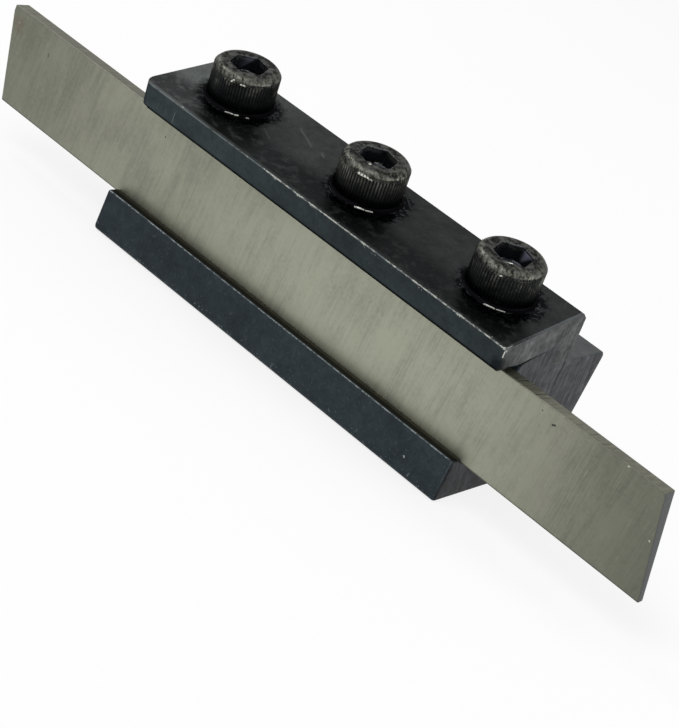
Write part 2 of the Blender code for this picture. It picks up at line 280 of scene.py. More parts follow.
def makeBlock(size):
    rearCentre = (size["rear"] - size["rearRound"], size["step"] - size["rearRound"])
    heelFront = bar["width"] - bar["heel"] - size["heelGap"]
    landFront = relief(blade["back"]) - size["landDrop"]
    outline = [
        (size["front"], 0.0),
        (size["rear"], 0.0),
        *arc(rearCentre, size["rearRound"], 0.0, pi / 2),
        squareLine(heelFront, size["step"]),
        reliefEnd(heelFront, size["landGap"]),
        (size["landTouch"], relief(size["landTouch"]) - size["landGap"]),
        (grooveWall(landFront), landFront),
        (grooveWall(size["seat"]), size["seat"]),
        (size["lipBack"], size["seat"]),
        (size["lipBack"], size["lipTop"]),
        (size["front"], size["lipTop"]),
    ]
    made = prism("holderBody", outline, size["left"], size["right"], alongSection)
    radius, top, depth = size["holeRadius"], size["drillTop"], size["holeDepth"]
    point = radius / tan(radians(size["drillPoint"] / 2))
    drillHoles(made, [(0, top), (radius, top), (radius, -depth), (0, -depth - point)])
    roundEdges(made, size["wornEdge"], 4, wornOnBlock)
    roundEdges(made, size["edge"], 3, outsideOfBlock)
    return made


def middleOf(edge):
    return (edge.verts[0].co + edge.verts[1].co) / 2


def awayFromScrews(middle):
    spots = [screwPlacing(along).inverted() @ middle for along in screws["axes"]]
    return all(hypot(spot.x, spot.y) >= screws["clear"] for spot in spots)


def wornOnBlock(edge):
    middle = middleOf(edge)
    low = middle.z < slack
    return middle.y < block["front"] + slack and (low or middle.x > block["right"] - slack)


def outsideOfBlock(edge):
    middle = middleOf(edge)
    front, back = block["covered"]
    underBar = front < middle.y < back and middle.z > block["coveredAbove"]
    return awayFromScrews(middle) and not underBar


def outsideOfBar(edge):
    middle = middleOf(edge)
    local = screwPlacing(0.0).inverted() @ middle
    setback = local.y + screws["setback"]
    first, last = bar["hiddenSetback"]
    hidden = local.z < bar["hiddenBelow"] and first < setback < last
    return awayFromScrews(middle) and not hidden


def barSection(size):
    radius = size["noseRound"]
    drop = size["under"] + radius
    noseX = topFront.x + (radius - topWay.y * (drop - topFront.y)) / topWay.x
    heelFront = size["width"] - size["heel"]
    topBack = topFront + topWay * size["width"]
    return [
        *arc((noseX, drop), radius, pi + tilt, 1.5 * pi, 10),
        (size["noseBack"], size["under"]),
        reliefEnd(heelFront, 0.0),
        squareLine(heelFront, size["heelBottom"]),
        squareLine(size["width"], size["heelBottom"]),
        topBack - upWay * size["heelChamfer"],
        topBack - topWay * size["heelChamfer"],
        topFront,
    ]


def ovalCorner(corner, reach, across, towards):
    long, deep = reach
    centre = (corner - towards * long, across + deep)
    angles = [pi / 2 * step / 8 for step in range(9)]
    points = [(centre[0] + towards * long * sin(a), centre[1] - deep * cos(a)) for a in angles]
    return points if towards > 0 else points[::-1]


def makeBar(size):
    made = prism("clampBar", barSection(size), size["left"], size["right"], alongSection)
    nose = -screws["setback"]
    plan = [
        *ovalCorner(size["left"], size["uprightLeft"], nose, -1),
        *ovalCorner(size["right"], size["uprightRight"], nose, 1),
        (size["right"], size["width"]),
        (size["left"], size["width"]),
    ]
    reach = size["planReach"]
    combine(made, [prism("plan", plan, -reach, reach, screwPlacing(0.0))], "INTERSECT")
    upright = Matrix.Rotation(pi / 2, 4, "X")
    foot, reach = size["noseFoot"], size["cornerReach"]
    tools = []
    for end, side, radius in ((size["left"], -1, size["lowerLeft"]),
                              (size["right"], 1, size["lowerRight"])):
        centre = (end - side * radius, foot + radius)
        outline = [
            *arc(centre, radius, 1.5 * pi, 1.5 * pi + side * pi / 2, 8),
            (end + side * reach, foot + radius), (end + side * reach, foot - reach),
            (end - side * radius, foot - reach),
        ]
        tools.append(prism("corner", outline, *size["cornerZone"], upright))
    combine(made, tools, "DIFFERENCE")
    radius, reach = size["holeRadius"], size["drillReach"]
    drillHoles(made, [(0, reach), (radius, reach), (radius, -reach), (0, -reach)])
    roundEdges(made, size["edge"], 3, outsideOfBar)
    addOilRings(made, oil)
    return made


# Oil gathered in the corner round each screw head; it stays on the bar
oil = {
    "inner": 4.43, "outer": 5.05, "height": 0.36, "hollow": 2.2, "sink": 0.01, "buried": 0.08,
    "rag": 0.05, "heightRag": 0.9, "steps": 120, "parts": 8,
    # how many waves round a head, how far each head shifts them, and their share
    "waves": ((3, 2.1, 1.0), (7, 1.0, 0.7), (13, 3.0, 0.6), (23, 0.0, 0.4)),
}


def oilProfile(size, wave):
    reach = size["outer"] - size["inner"] + wave
    rise = size["height"] * (1 + size["heightRag"] * wave)
    shares = [part / size["parts"] for part in range(size["parts"] + 1)]
    skin = [(size["inner"] + reach * share,
             rise * (1 - share) ** size["hollow"] - size["sink"] * share, 1 - share / 2)
            for share in shares]
    hidden = [(radius, -size["buried"], 1.0) for radius in (size["inner"] + reach, size["inner"])]
    return skin + hidden


def addOilRings(thing, size):
    with editing(thing) as work:
        film = work.verts.layers.float.new("film")
        for order, along in enumerate(screws["axes"]):
            placing = screwPlacing(along)
            rings = []
            for step in range(size["steps"]):
                angle = 2 * pi * step / size["steps"]
                wave = sum(share * sin(count * angle + shift * order)
                           for count, shift, share in size["waves"]) * size["rag"]
                ring = []
                for radius, height, share in oilProfile(size, wave):
                    ring.append(work.verts.new(placing @ polar(radius, angle, height)))
                    ring[-1][film] = share
                rings.append(ring)
            for near, beside in zip(rings, rings[1:] + rings[:1]):
                for a in range(len(near)):
                    b = (a + 1) % len(near)
                    work.faces.new((near[a], near[b], beside[b], beside[a]))


# The blade's lean and nip are seen from the front; its section narrows to its foot
blade = {
    "length": 112.0, "width": 12.7, "lean": 15.7, "nip": 0.25, "edge": 0.14,
    "shift": -0.41, "bottom": 5.5, "top": 18.2, "front": -11.1, "back": -8.72, "footBack": -9.9,
    "zone": (6.0, 14.0),
}


def makeBlade(size):
    half = size["length"] / 2
    high = size["width"] / 2
    lean = tan(radians(size["lean"]))
    offset = high * lean
    tip = size["nip"] - half - offset
    outline = [
        (offset - half, -high), (offset + half, -high), (half - offset, high),
        (tip, high), (tip, high - size["nip"] / lean),
    ]
    section = [
        (size["front"], size["bottom"]), (size["footBack"], size["bottom"]),
        (size["back"], size["top"]), (size["front"], size["top"]),
    ]
    made = prism("partingBlade", section, -size["length"], size["length"], alongSection)
    centre = Matrix.Translation((size["shift"], 0.0, (size["bottom"] + size["top"]) / 2))
    upright = centre @ Matrix.Rotation(pi / 2, 4, "X")
    combine(made, [prism("ends", outline, *size["zone"], upright)], "INTERSECT")
    roundEdges(made, size["edge"], 2)
    return made


# A net adds nodes to one tree, and most of its calls give back the socket to read
class Net:
    def __init__(self, tree):
        self.tree = tree

    def fill(self, node, given):
        for key, value in given.items():
            if isinstance(value, bpy.types.NodeSocket):
                self.tree.links.new(value, node.inputs[key])
            else:
                node.inputs[key].default_value = value
        return node

    def node(self, kind, given=None, **settings):
        node = self.tree.nodes.new(kind)
        for key, value in settings.items():
            setattr(node, key, value)
        return self.fill(node, given or {})

    def out(self, kind, given=None, **settings):
        return self.node(kind, given, **settings).outputs[0]

    def calc(self, operation, *values, clamp=False):
        return self.out("ShaderNodeMath", dict(enumerate(values)), operation=operation,
                        use_clamp=clamp)

    def chain(self, operation, total, *values):
        for value in values:
            total = self.calc(operation, total, value)
        return total

    def product(self, *values):
        return self.chain("MULTIPLY", *values)

    def most(self, *values):
        return self.chain("MAXIMUM", *values)

    def line(self, value, factor, offset):
        return self.calc("MULTIPLY_ADD", value, factor, offset)

    def inverse(self, value):
        return self.calc("SUBTRACT", 1.0, value)

    def fromMiddle(self, value, middle):
        return self.calc("ABSOLUTE", self.calc("SUBTRACT", value, middle))

    def ramp(self, value, low, high):
        return self.out("ShaderNodeMapRange", {0: value, 1: low, 2: high},
                        interpolation_type="SMOOTHSTEP")

    def below(self, value, low, high):
        return self.inverse(self.ramp(value, low, high))

    def band(self, value, middle, inner, outer):
        return self.below(self.fromMiddle(value, middle), inner, outer)

    def vector(self, operation, *values, **named):
        given = {**dict(enumerate(values)), **named}
        return self.node("ShaderNodeVectorMath", given, operation=operation).outputs

    def noise(self, vector, scale, detail=3.0, roughness=0.5):
        return self.node("ShaderNodeTexNoise", {"Vector": vector, "Scale": scale, "Detail": detail,
                                                "Roughness": roughness}).outputs["Fac"]

    def raggedly(self, vector, scale, detail=3.0, roughness=0.5):
        return self.calc("SUBTRACT", self.noise(vector, scale, detail, roughness), 0.5)

    def mix(self, share, first, second):
        return self.out("ShaderNodeMix", {0: share, 2: first, 3: second})

    def blend(self, share, first, second, way="MIX"):
        return self.node("ShaderNodeMix", {0: share, 6: first, 7: second}, data_type="RGBA",
                         blend_type=way).outputs[2]

    def shaded(self, colour, value):
        grey = self.out("ShaderNodeCombineColor", {0: value, 1: value, 2: value})
        return self.blend(1.0, colour, grey, "MULTIPLY")


# Cap screws: turned blank, broached socket, then ridges and thread by Geometry Nodes
ridgeInputs = {
    "Geometry": ["Blank"], "Int": ["Teeth", "Thread Turns"], "Material": ["Steel"],
    "Float": ["Tooth Reach", "Tooth Size", "Tooth Length", "Tooth Middle",
              "Thread Radius", "Thread Size", "Thread Length", "Thread Start"],
}


def ridgesAndThread(size):
    tree = bpy.data.node_groups.new("ridgesAndThread", "GeometryNodeTree")
    for kind, names in ridgeInputs.items():
        for name in names:
            tree.interface.new_socket(name, in_out="INPUT", socket_type=f"NodeSocket{kind}")
    tree.interface.new_socket("Screw", in_out="OUTPUT", socket_type="NodeSocketGeometry")
    net = Net(tree)
    given = net.node("NodeGroupInput").outputs

    def lifted(geometry, height):
        offset = net.out("ShaderNodeCombineXYZ", {"Z": height})
        return net.out("GeometryNodeTransform", {"Geometry": geometry, "Translation": offset})

    ring = net.out("GeometryNodeMeshCircle", {"Vertices": given["Teeth"],
                                              "Radius": given["Tooth Reach"]})
    tooth = net.out("GeometryNodeMeshCylinder", {
        "Vertices": 4, "Radius": given["Tooth Size"], "Depth": given["Tooth Length"]})
    place = net.out("GeometryNodeInputPosition")
    outward = net.out("FunctionNodeAlignRotationToVector", {"Vector": place}, axis="X")
    teeth = net.out("GeometryNodeInstanceOnPoints", {
        "Points": ring, "Instance": tooth, "Rotation": outward,
        "Scale": (1.0, size["toothWidth"], 1.0)})
    helix = net.out("GeometryNodeCurveSpiral", {
        "Resolution": size["threadSteps"], "Rotations": given["Thread Turns"],
        "Start Radius": given["Thread Radius"], "End Radius": given["Thread Radius"],
        "Height": given["Thread Length"]})
    held = net.out("GeometryNodeSetCurveNormal", {"Curve": helix}, mode="Z_UP")
    flank = net.out("GeometryNodeCurvePrimitiveCircle", {"Resolution": 4,
                                                         "Radius": given["Thread Size"]})
    thread = net.out("GeometryNodeCurveToMesh", {"Curve": held, "Profile Curve": flank,
                                                 "Fill Caps": True})
    joined = net.node("GeometryNodeJoinGeometry")
    for part in (given["Blank"], lifted(teeth, given["Tooth Middle"]),
                 lifted(thread, given["Thread Start"])):
        tree.links.new(part, joined.inputs[0])
    real = net.out("GeometryNodeRealizeInstances", {"Geometry": joined.outputs[0]})
    steel = net.out("GeometryNodeSetMaterial", {"Geometry": real, "Material": given["Steel"]})
    net.node("NodeGroupOutput", {0: steel})
    return tree


def applyTree(thing, tree, values):
    carried = thing.modifiers.new(tree.name, "NODES")
    carried.node_group = tree
    for socket in tree.interface.items_tree:
        if socket.in_out == "INPUT" and socket.name in values:
            carried[socket.identifier] = values[socket.name]
    settleModifiers(thing)


def screwBlank(size, placing):
    head = size["head"] / 2
    top, foot, tip, edge = size["height"], size["foot"], size["tip"], size["footEdge"]
    shoulder = top - size["round"]
    rim = arc((head - size["rimInset"] - size["round"], shoulder), size["round"], pi / 2, 0.0, 9)
    core, toothFoot, neck, root = [
        size[key] for key in ("core", "toothBottom", "neck", "threadRoot")]
    profile = [
        (0, top), *rim, (core, shoulder - size["rimBand"]), (core, toothFoot),
        (head - edge, toothFoot - edge / 2), (head - edge, foot + edge), (head - 2 * edge, foot),
        (neck, foot), (neck, size["neckEnd"]), (root, size["neckEnd"] - size["neckTaper"]),
        (root, tip + size["tipEdge"]), (root - size["tipEdge"], tip), (0, tip),
    ]
    made = turned("screw", profile, size["steps"], placing)
    corner = size["flats"] / sqrt(3)
    hexagon = [(corner * cos(a * pi / 3), corner * sin(a * pi / 3)) for a in range(6)]
    socket = prism("socket", hexagon, top - size["depth"], top + 3, placing)
    combine(made, [socket], "DIFFERENCE")

    def mouthEdge(edge):
        middle = middleOf(edge)
        return middle.z > top - slack and hypot(middle.x, middle.y) < corner + 5 * slack

    roundEdges(made, size["mouthEdge"], 2, mouthEdge)
    addOilPool(made, size, placing)
    return made


def addOilPool(thing, size, placing):
    floor = size["height"] - size["depth"] + size["poolLift"]
    wall = size["flats"] / 2 + size["poolBite"]
    rise = size["poolRise"]
    slope = arc((wall - rise, floor + rise), rise, 0.0, -pi / 2, 8)
    low = floor - size["poolDepth"]
    outline = [(0, low), (wall, low), *slope, (0, floor)]
    pool = turned("pool", outline, size["poolSteps"], placing)
    with editing(thing) as work:
        work.from_mesh(pool.data)
    dropObject(pool)


def makeScrew(name, size, tree, turn, steel):
    made = screwBlank(size, Matrix.Rotation(turn, 4, "Z"))
    made.name = name
    band = size["height"] - size["round"] + size["toothRise"]
    bottom = size["toothBottom"]
    applyTree(made, tree, {
        "Teeth": size["teeth"], "Tooth Reach": size["head"] / 2 - size["toothSize"],
        "Tooth Size": size["toothSize"], "Tooth Length": band - bottom,
        "Tooth Middle": (band + bottom) / 2, "Thread Turns": size["threadTurns"],
        "Thread Radius": size["threadRoot"], "Thread Size": size["threadSize"],
        "Thread Length": size["threadTurns"] * size["pitch"],
        "Thread Start": size["tip"] + size["threadStart"], "Steel": steel,
    })
    spots = [corner.co.copy() for corner in made.data.vertices]
    for label, values in (("fromAxis", [hypot(spot.x, spot.y) for spot in spots]),
                          ("aboveBar", [spot.z for spot in spots])):
        made.data.attributes.new(label, "FLOAT", "POINT").data.foreach_set("value", values)
    return made


# Colours are given as they are seen, from 0 to 255
def seen(red, green, blue):
    parts = [channel / 255 for channel in (red, green, blue)]
    return (*[p / 12.92 if p <= 0.04045 else ((p + 0.055) / 1.055) ** 2.4 for p in parts], 1.0)


zero = (0.0, 0.0, 0.0)


def shaderGroup(name, inputs):
    tree = bpy.data.node_groups.new(name, "ShaderNodeTree")
    for label, value in inputs.items():
        kind = "NodeSocketVector" if isinstance(value, tuple) else "NodeSocketFloat"
        socket = tree.interface.new_socket(label, in_out="INPUT", socket_type=kind)
        socket.default_value = value
    tree.interface.new_socket("Mask", in_out="OUTPUT", socket_type="NodeSocketFloat")
    given = tree.nodes.new("NodeGroupInput").outputs
    result = tree.nodes.new("NodeGroupOutput")
    return Net(tree), given, lambda value: tree.links.new(value, result.inputs[0])


def edgeWearGroup():
    net, given, send = shaderGroup("edge wear", {
        "Vector": zero, "Width": 0.0003, "Grain": 2.0, "Raggedness": 1.0, "Amount": 0.5})
    bevel = net.out("ShaderNodeBevel", {"Radius": given["Width"]}, samples=6)
    flat = net.node("ShaderNodeNewGeometry").outputs["Normal"]
    facing = net.vector("DOT_PRODUCT", bevel, flat)["Value"]
    edge = net.calc("MULTIPLY", net.inverse(facing), 5.0, clamp=True)
    rough = net.raggedly(given["Vector"], given["Grain"], 5, 0.7)
    ragged = net.line(rough, given["Raggedness"], edge)
    start = net.inverse(given["Amount"])
    send(net.product(net.ramp(ragged, start, net.calc("ADD", start, 0.3)),
                     net.ramp(edge, 0.02, 0.12)))
    return net.tree


def scratchGroup():
    net, given, send = shaderGroup("fine scratches", {
        "Vector": zero, "Turn": zero, "Stretch": (1.0, 1.0, 1.0), "Thickness": 0.02, "Cover": 0.5})
    turned = net.out("ShaderNodeMapping", {"Vector": given["Vector"],
                                           "Rotation": given["Turn"]})
    drawn = net.vector("MULTIPLY", turned, given["Stretch"])["Vector"]
    lines = net.fromMiddle(net.noise(drawn, 1.0, 1.0), 0.5)
    gaps = net.noise(given["Vector"], 0.55)
    start = net.inverse(given["Cover"])
    send(net.product(net.below(lines, 0.0, given["Thickness"]),
                     net.ramp(gaps, start, net.calc("ADD", start, 0.15))))
    return net.tree


def markGroup():
    net, given, send = shaderGroup("single mark", {
        "Vector": zero, "From": zero, "To": (1.0, 0.0, 0.0), "Width": 0.1})
    along = net.vector("SUBTRACT", given["To"], given["From"])["Vector"]
    offset = net.vector("SUBTRACT", given["Vector"], given["From"])["Vector"]
    square = net.vector("DOT_PRODUCT", along, along)["Value"]
    reach = net.calc("DIVIDE", net.vector("DOT_PRODUCT", offset, along)["Value"],
                     net.calc("MAXIMUM", square, 1e-6), clamp=True)
    nearest = net.vector("SCALE", along, Scale=reach)["Vector"]
    away = net.vector("LENGTH", net.vector("SUBTRACT", offset, nearest)["Vector"])["Value"]
    wobble = net.product(net.raggedly(given["Vector"], 5.0), given["Width"])
    send(net.below(net.calc("ADD", away, wobble), net.product(given["Width"], 0.4),
                   given["Width"]))
    return net.tree


def ringGroup():
    net, given, send = shaderGroup("ring about a point", {
        "Vector": zero, "Centre": zero, "Inner": 4.0, "Outer": 6.0, "Raggedness": 1.0})
    away = net.vector("DISTANCE", given["Vector"], given["Centre"])["Value"]
    rough = net.raggedly(given["Vector"], 0.9, 4.0, 0.6)
    away = net.line(rough, given["Raggedness"], away)
    send(net.below(away, given["Inner"], given["Outer"]))
    return net.tree


edgeWear = edgeWearGroup()
fineScratches = scratchGroup()
singleMark = markGroup()
ringAbout = ringGroup()


# A skin is one material, built up in layers. Its places and distances are in millimetres, but
# the width of edge wear and the height of bumps are in metres
class Skin(Net):
    def __init__(self, name):
        self.surface = bpy.data.materials.new(name)
        self.surface.use_nodes = True
        super().__init__(self.surface.node_tree)
        texture = self.node("ShaderNodeTexCoord").outputs
        self.place = self.vector("SCALE", texture["Object"], Scale=1 / mm)["Vector"]
        spot = self.node("ShaderNodeSeparateXYZ", {0: self.place}).outputs
        self.along, self.across, self.up = spot["X"], spot["Y"], spot["Z"]
        facing = self.node("ShaderNodeSeparateXYZ", {0: texture["Normal"]}).outputs
        self.endFacing = self.calc("ABSOLUTE", facing["X"])
        self.upFacing = facing["Z"]

    def attribute(self, name):
        return self.node("ShaderNodeAttribute", attribute_name=name).outputs["Fac"]

    def cloud(self, scale, detail, roughness):
        return self.noise(self.place, scale, detail, roughness)

    def streaked(self, turn, scale, detail, roughness):
        turned = self.out("ShaderNodeMapping", {
            "Vector": self.place, "Rotation": [radians(angle) for angle in turn]})
        drawn = self.out("ShaderNodeMapping", {"Vector": turned, "Scale": scale})
        return self.noise(drawn, 1.0, detail, roughness)

    def mask(self, group, given):
        return self.out("ShaderNodeGroup", {"Vector": self.place, **given}, node_tree=group)

    def wear(self, width, grain, raggedness, amount):
        return self.mask(edgeWear, {"Width": width, "Grain": grain, "Raggedness": raggedness,
                                    "Amount": amount})

    def scratches(self, turn, stretch, thickness, cover):
        return self.mask(fineScratches, {
            "Turn": [radians(angle) for angle in turn], "Stretch": stretch,
            "Thickness": thickness, "Cover": cover})

    def around(self, centre, inner, outer, raggedness):
        return self.mask(ringAbout, {"Centre": centre, "Inner": inner, "Outer": outer,
                                     "Raggedness": raggedness})

    def marks(self, marks):
        return self.most(*[self.mask(singleMark, {"From": first, "To": last, "Width": width})
                           for first, last, width in marks])

    def distance(self, origin, way):
        offset = self.vector("SUBTRACT", self.place, origin)["Vector"]
        return self.vector("DOT_PRODUCT", offset, way)["Value"]

    # the thin line along an edge, the whole of its round, and how far in from it a spot lies
    def arris(self, origin, firstWay, secondWay, width):
        first = self.distance(origin, firstWay)
        second = self.distance(origin, secondWay)
        inside = self.below(self.most(first, second), width, width + 0.15)
        middle = self.band(self.calc("SUBTRACT", first, second), 0.0, 0.05, 0.17)
        return self.product(middle, inside), inside, first

    def paint(self, share, colour, strength=1.0):
        share = self.product(share, strength) if strength < 1.0 else share
        self.colour = self.blend(share, self.colour, colour)

    def shade(self, value):
        self.colour = self.shaded(self.colour, value)

    def polish(self, share, roughness):
        self.roughness = self.mix(share, self.roughness, roughness)

    def finish(self, look, bumps, metallic):
        normal = self.out("ShaderNodeBump", {"Height": bumps, "Strength": 1.0,
                                             "Distance": look["bump"]})
        self.fill(self.tree.nodes["Principled BSDF"], {
            "Base Color": self.colour, "Roughness": self.roughness, "Metallic": metallic,
            "Specular Tint": look["grazing"], "Normal": normal})
        return self.surface


# A mark is where it starts and ends, and its width; scratches and painted highlight lines have a
# strength too. On the bar's top a place is along, setback and depth, and on a screw radius, degrees
# and height
def topMarks(*marks):
    return [(onTop(*first), onTop(*last), *sizes) for first, last, *sizes in marks]


def screwMarks(*marks):
    return [(onScrew(number, *first), onScrew(number, *last), width)
            for number, first, last, width in marks]


# Black oxide on the block and on the bar. A noise is its scale, detail and roughness, and
# a pair is where a change starts and ends, or what a value is at the start and at the end
oxide = {
    "line": seen(112, 118, 120), "edgeAmounts": (0.5, 0.62), "edgeSpan": (-8.0, 8.0),
    "cloud": (0.16, 4.0, 0.55), "mottle": (0.7, 5.0, 0.65), "grain": (3.0, 6.0, 0.65),
    "topSpan": (-30.0, -12.0), "toneSpan": (-28.0, 12.0), "streakTurn": (-14, 0, 0),
    "streakStretch": (1.0, 4.0, 0.35), "metal": 0.96, "bump": 0.000012,
}
barFinish = {
    **oxide, "front": seen(50, 57, 59), "top": seen(51, 54, 53), "topLeft": seen(77, 80, 79),
    "end": seen(94, 96, 96), "streaks": 0.45, "tones": (1.3, 0.97),
    "endFoot": 0.82, "footSpan": (18.0, 22.0), "seamAndGapShade": seen(22, 23, 25),
    "pale": seen(104, 108, 110), "bareAndGlint": seen(196, 197, 190), "oilAndShadeDark": seen(12, 14, 17),
    "blot": seen(62, 65, 64), "film": seen(5, 5, 7), "filmRimSheen": seen(58, 61, 64),
    "edgeWidth": 0.00030, "scratches": 0.42, "grazing": (0.45, 0.45, 0.45, 1),
    "wornSpan": (-17.0, -4.0), "darkFrom": (0.3, 0.8), "darkTo": (4.0, 7.5),
    "oilShift": (0.7, -0.6), "oilReach": (5.0, 6.4, 3.0), "filmRimAt": 0.62,
    "noseShadeSpot": (30.2, -14.2, 19.3), "noseShadeReach": (0.6, 1.7, 1.2),
    # bright marks: worn flecks along the front edge, a bright nick with painted highlights along
    # its edges at the nose's right corner, and painted glints on the oil rings round the heads
    "flecksAndGlints": topMarks(
        ((30.2, 0.15, 0.1), (30.4, 0.3, 0.35), 0.24),
        ((30.4, 0.3, 0.05), (30.4, 1.3, 0.05), 0.09),
        ((30.4, 0.1, 0.4), (30.4, 0.1, 1.2), 0.10),
        ((22.9, 0.15, 0.15), (23.5, 0.15, 0.15), 0.2),
        ((-23.8, 0.2, 0.1), (-23.4, 0.2, 0.1), 0.14)) + screwMarks(
        (1, (4.76, -68, 0.07), (4.72, -56, 0.08), 0.09),
        (1, (4.74, -53, 0.07), (4.72, -48, 0.08), 0.14),
        (1, (4.82, -34, 0.05), (4.82, -31, 0.05), 0.13),
        (2, (4.72, -67, 0.08), (4.72, -53, 0.08), 0.13),
        (2, (4.74, -50, 0.07), (4.78, -40, 0.06), 0.10),
        (3, (4.82, -76, 0.05), (4.82, -60, 0.05), 0.13),
        (3, (4.84, -57, 0.05), (4.86, -45, 0.05), 0.10)),
    "scoredAndSheen": [
        ((-24.5, -14.23, 20.75), (-24.6, -13.93, 19.3), 0.09, 0.8),
        ((-13.9, -2.7, 24.35), (-10.4, -4.4, 24.0), 0.22, 0.28),
        ((-8.6, -4.3, 24.0), (-7.8, -4.8, 23.95), 0.25, 0.3),
        ((-16.3, -7.1, 23.45), (-13.8, -8.6, 23.2), 0.07, 0.5)] + topMarks(
        ((-29.8, 9.2), (-27.9, 5.4), 0.07, 0.5),
        ((-29.4, 8.0), (-27.2, 4.9), 0.06, 0.45),
        ((-29.6, 6.6), (-27.9, 4.4), 0.06, 0.5),
        ((-28.9, 10.4), (-27.4, 7.0), 0.06, 0.4),
        ((-28.3, 11.6), (-27.0, 9.0), 0.06, 0.4),
        # painted highlight along the top edge of the right end
        ((30.3, 0.4), (30.3, 16.0), 0.2, 0.7),
        ((24.0, 16.2), (30.2, 16.2), 0.12, 0.5),
        ((27.9, 15.4), (28.6, 14.2), 0.06, 0.2)),
    # painted shadow in the gap under the bar's end
    "seamsAndGapShade": [((30.5, -10.6, 18.85), (30.5, -7.2, 19.69), 0.14)],
}
blockFinish = {
    **oxide, "front": seen(44, 51, 55), "top": seen(66, 69, 69), "topLeft": seen(66, 69, 69),
    "end": seen(57, 58, 61), "streaks": 1.3, "tones": (1.12, 1.2),
    "endFoot": 0.40, "footSpan": (1.0, 16.0), "seamAndGapShade": seen(14, 15, 17),
    "pale": seen(92, 97, 100), "bareAndGlint": seen(150, 153, 152), "shadeBlack": seen(8, 9, 10),
    "lipReflection": seen(34, 33, 27), "lipReflectionPale": seen(76, 73, 60),
    "edgeWidth": 0.00024, "scratches": 0.45, "grazing": (0.8, 0.8, 0.8, 1),
    "wornFrom": (1.0, 4.0), "chipsBelow": (0.5, 1.8), "landAbove": (18.3, 18.6),
    "lipBelow": (6.5, 7.0), "lipShadeTo": (-12.1, -11.8), "lipBandFrom": (-12.95, -12.8),
    "flecksAndGlints": [((24.6, -13.1, 2.6), (24.7, -13.1, 2.5), 0.13)],
    "scoredAndSheen": [
        ((30.5, 4.4, 16.6), (30.5, 5.6, 11.4), 0.1, 0.35),
        ((30.5, -1.4, 16.5), (30.5, 0.6, 11.0), 0.1, 0.3),
        ((30.5, 0.4, 17.0), (30.5, 2.0, 12.0), 0.08, 0.3)],
    # dark lines on the end face; the two along the land's top edge are painted shadow of the gap
    # under the bar
    "seamsAndGapShade": [
        ((30.5, 2.75, 18.2), (30.5, 3.12, 14.2), 0.28),
        ((30.5, -8.8, 19.05), (30.5, -7.2, 19.52), 0.42),
        ((30.5, -7.2, 19.54), (30.5, -4.4, 20.3), 0.3)],
}


# Oil, chips of bright metal along the front arris, and the film on the rings round the heads with a
# painted reflection at its edge; painted shade under the bar and at the nose's lower right corner
def oilBar(skin, look, upward, mottle, bumps):
    line, edge, setback = skin.arris(onTop(0.0, 0.0), (0, topWay.x, topWay.y),
                                     (0, -upWay.x, -upWay.y), bar["edge"])
    chips = skin.calc("ADD", skin.streaked((0, 0, 0), (1.3, 2.6, 2.6), 4.0, 0.75),
                      skin.mix(skin.ramp(skin.along, *look["wornSpan"]), -0.25, 0.0))
    chips = skin.most(skin.product(line, skin.ramp(chips, 0.45, 0.54), 0.85),
                      skin.product(edge, skin.ramp(chips, 0.63, 0.68)))
    dark = skin.product(skin.below(setback, *look["darkTo"]),
                        skin.ramp(setback, *look["darkFrom"]), upward,
                        skin.ramp(mottle, 0.30, 0.55))
    skin.paint(dark, look["oilAndShadeDark"], 0.6)
    skin.polish(skin.product(dark, 0.7), 0.2)
    shiftAlong, shiftAcross = look["oilShift"]
    centres = [(axis + shiftAlong, seat.x + shiftAcross, seat.y) for axis in screws["axes"]]
    oily = skin.most(*[skin.around(centre, *look["oilReach"]) for centre in centres])
    wet = skin.product(oily, upward)
    skin.paint(wet, look["oilAndShadeDark"], 0.9)
    blots = skin.ramp(skin.cloud(1.8, 3.0, 0.6), 0.53, 0.58)
    skin.paint(skin.product(blots, wet), look["blot"], 0.8)
    skin.polish(wet, 0.16)
    bumps = skin.line(skin.product(skin.cloud(1.6, 4.0, 0.55), wet), 5.0, bumps)
    broken = skin.ramp(skin.cloud(0.9, 5.0, 0.7), 0.38, 0.52)
    skin.paint(skin.product(line, broken), look["line"], 0.8)
    film = skin.attribute("film")
    onFilm = skin.ramp(film, 0.1, 0.4)
    # painted reflection: a grey line along the outer edge of the oil film
    rim = skin.product(skin.band(film, look["filmRimAt"], 0.02, 0.07), onFilm,
                       skin.ramp(skin.cloud(1.3, 4.0, 0.7), 0.48, 0.64))
    skin.paint(onFilm, skin.blend(rim, look["film"], look["filmRimSheen"]))
    skin.polish(onFilm, 0.42)
    # painted shade: the faces that look down are painted dark
    skin.paint(skin.below(skin.upFacing, -0.7, -0.3), look["oilAndShadeDark"])
    # painted shade on the nose's lower right corner, which faces down
    nose = skin.around(look["noseShadeSpot"], *look["noseShadeReach"])
    skin.paint(nose, look["oilAndShadeDark"], 0.7)
    return bumps, chips


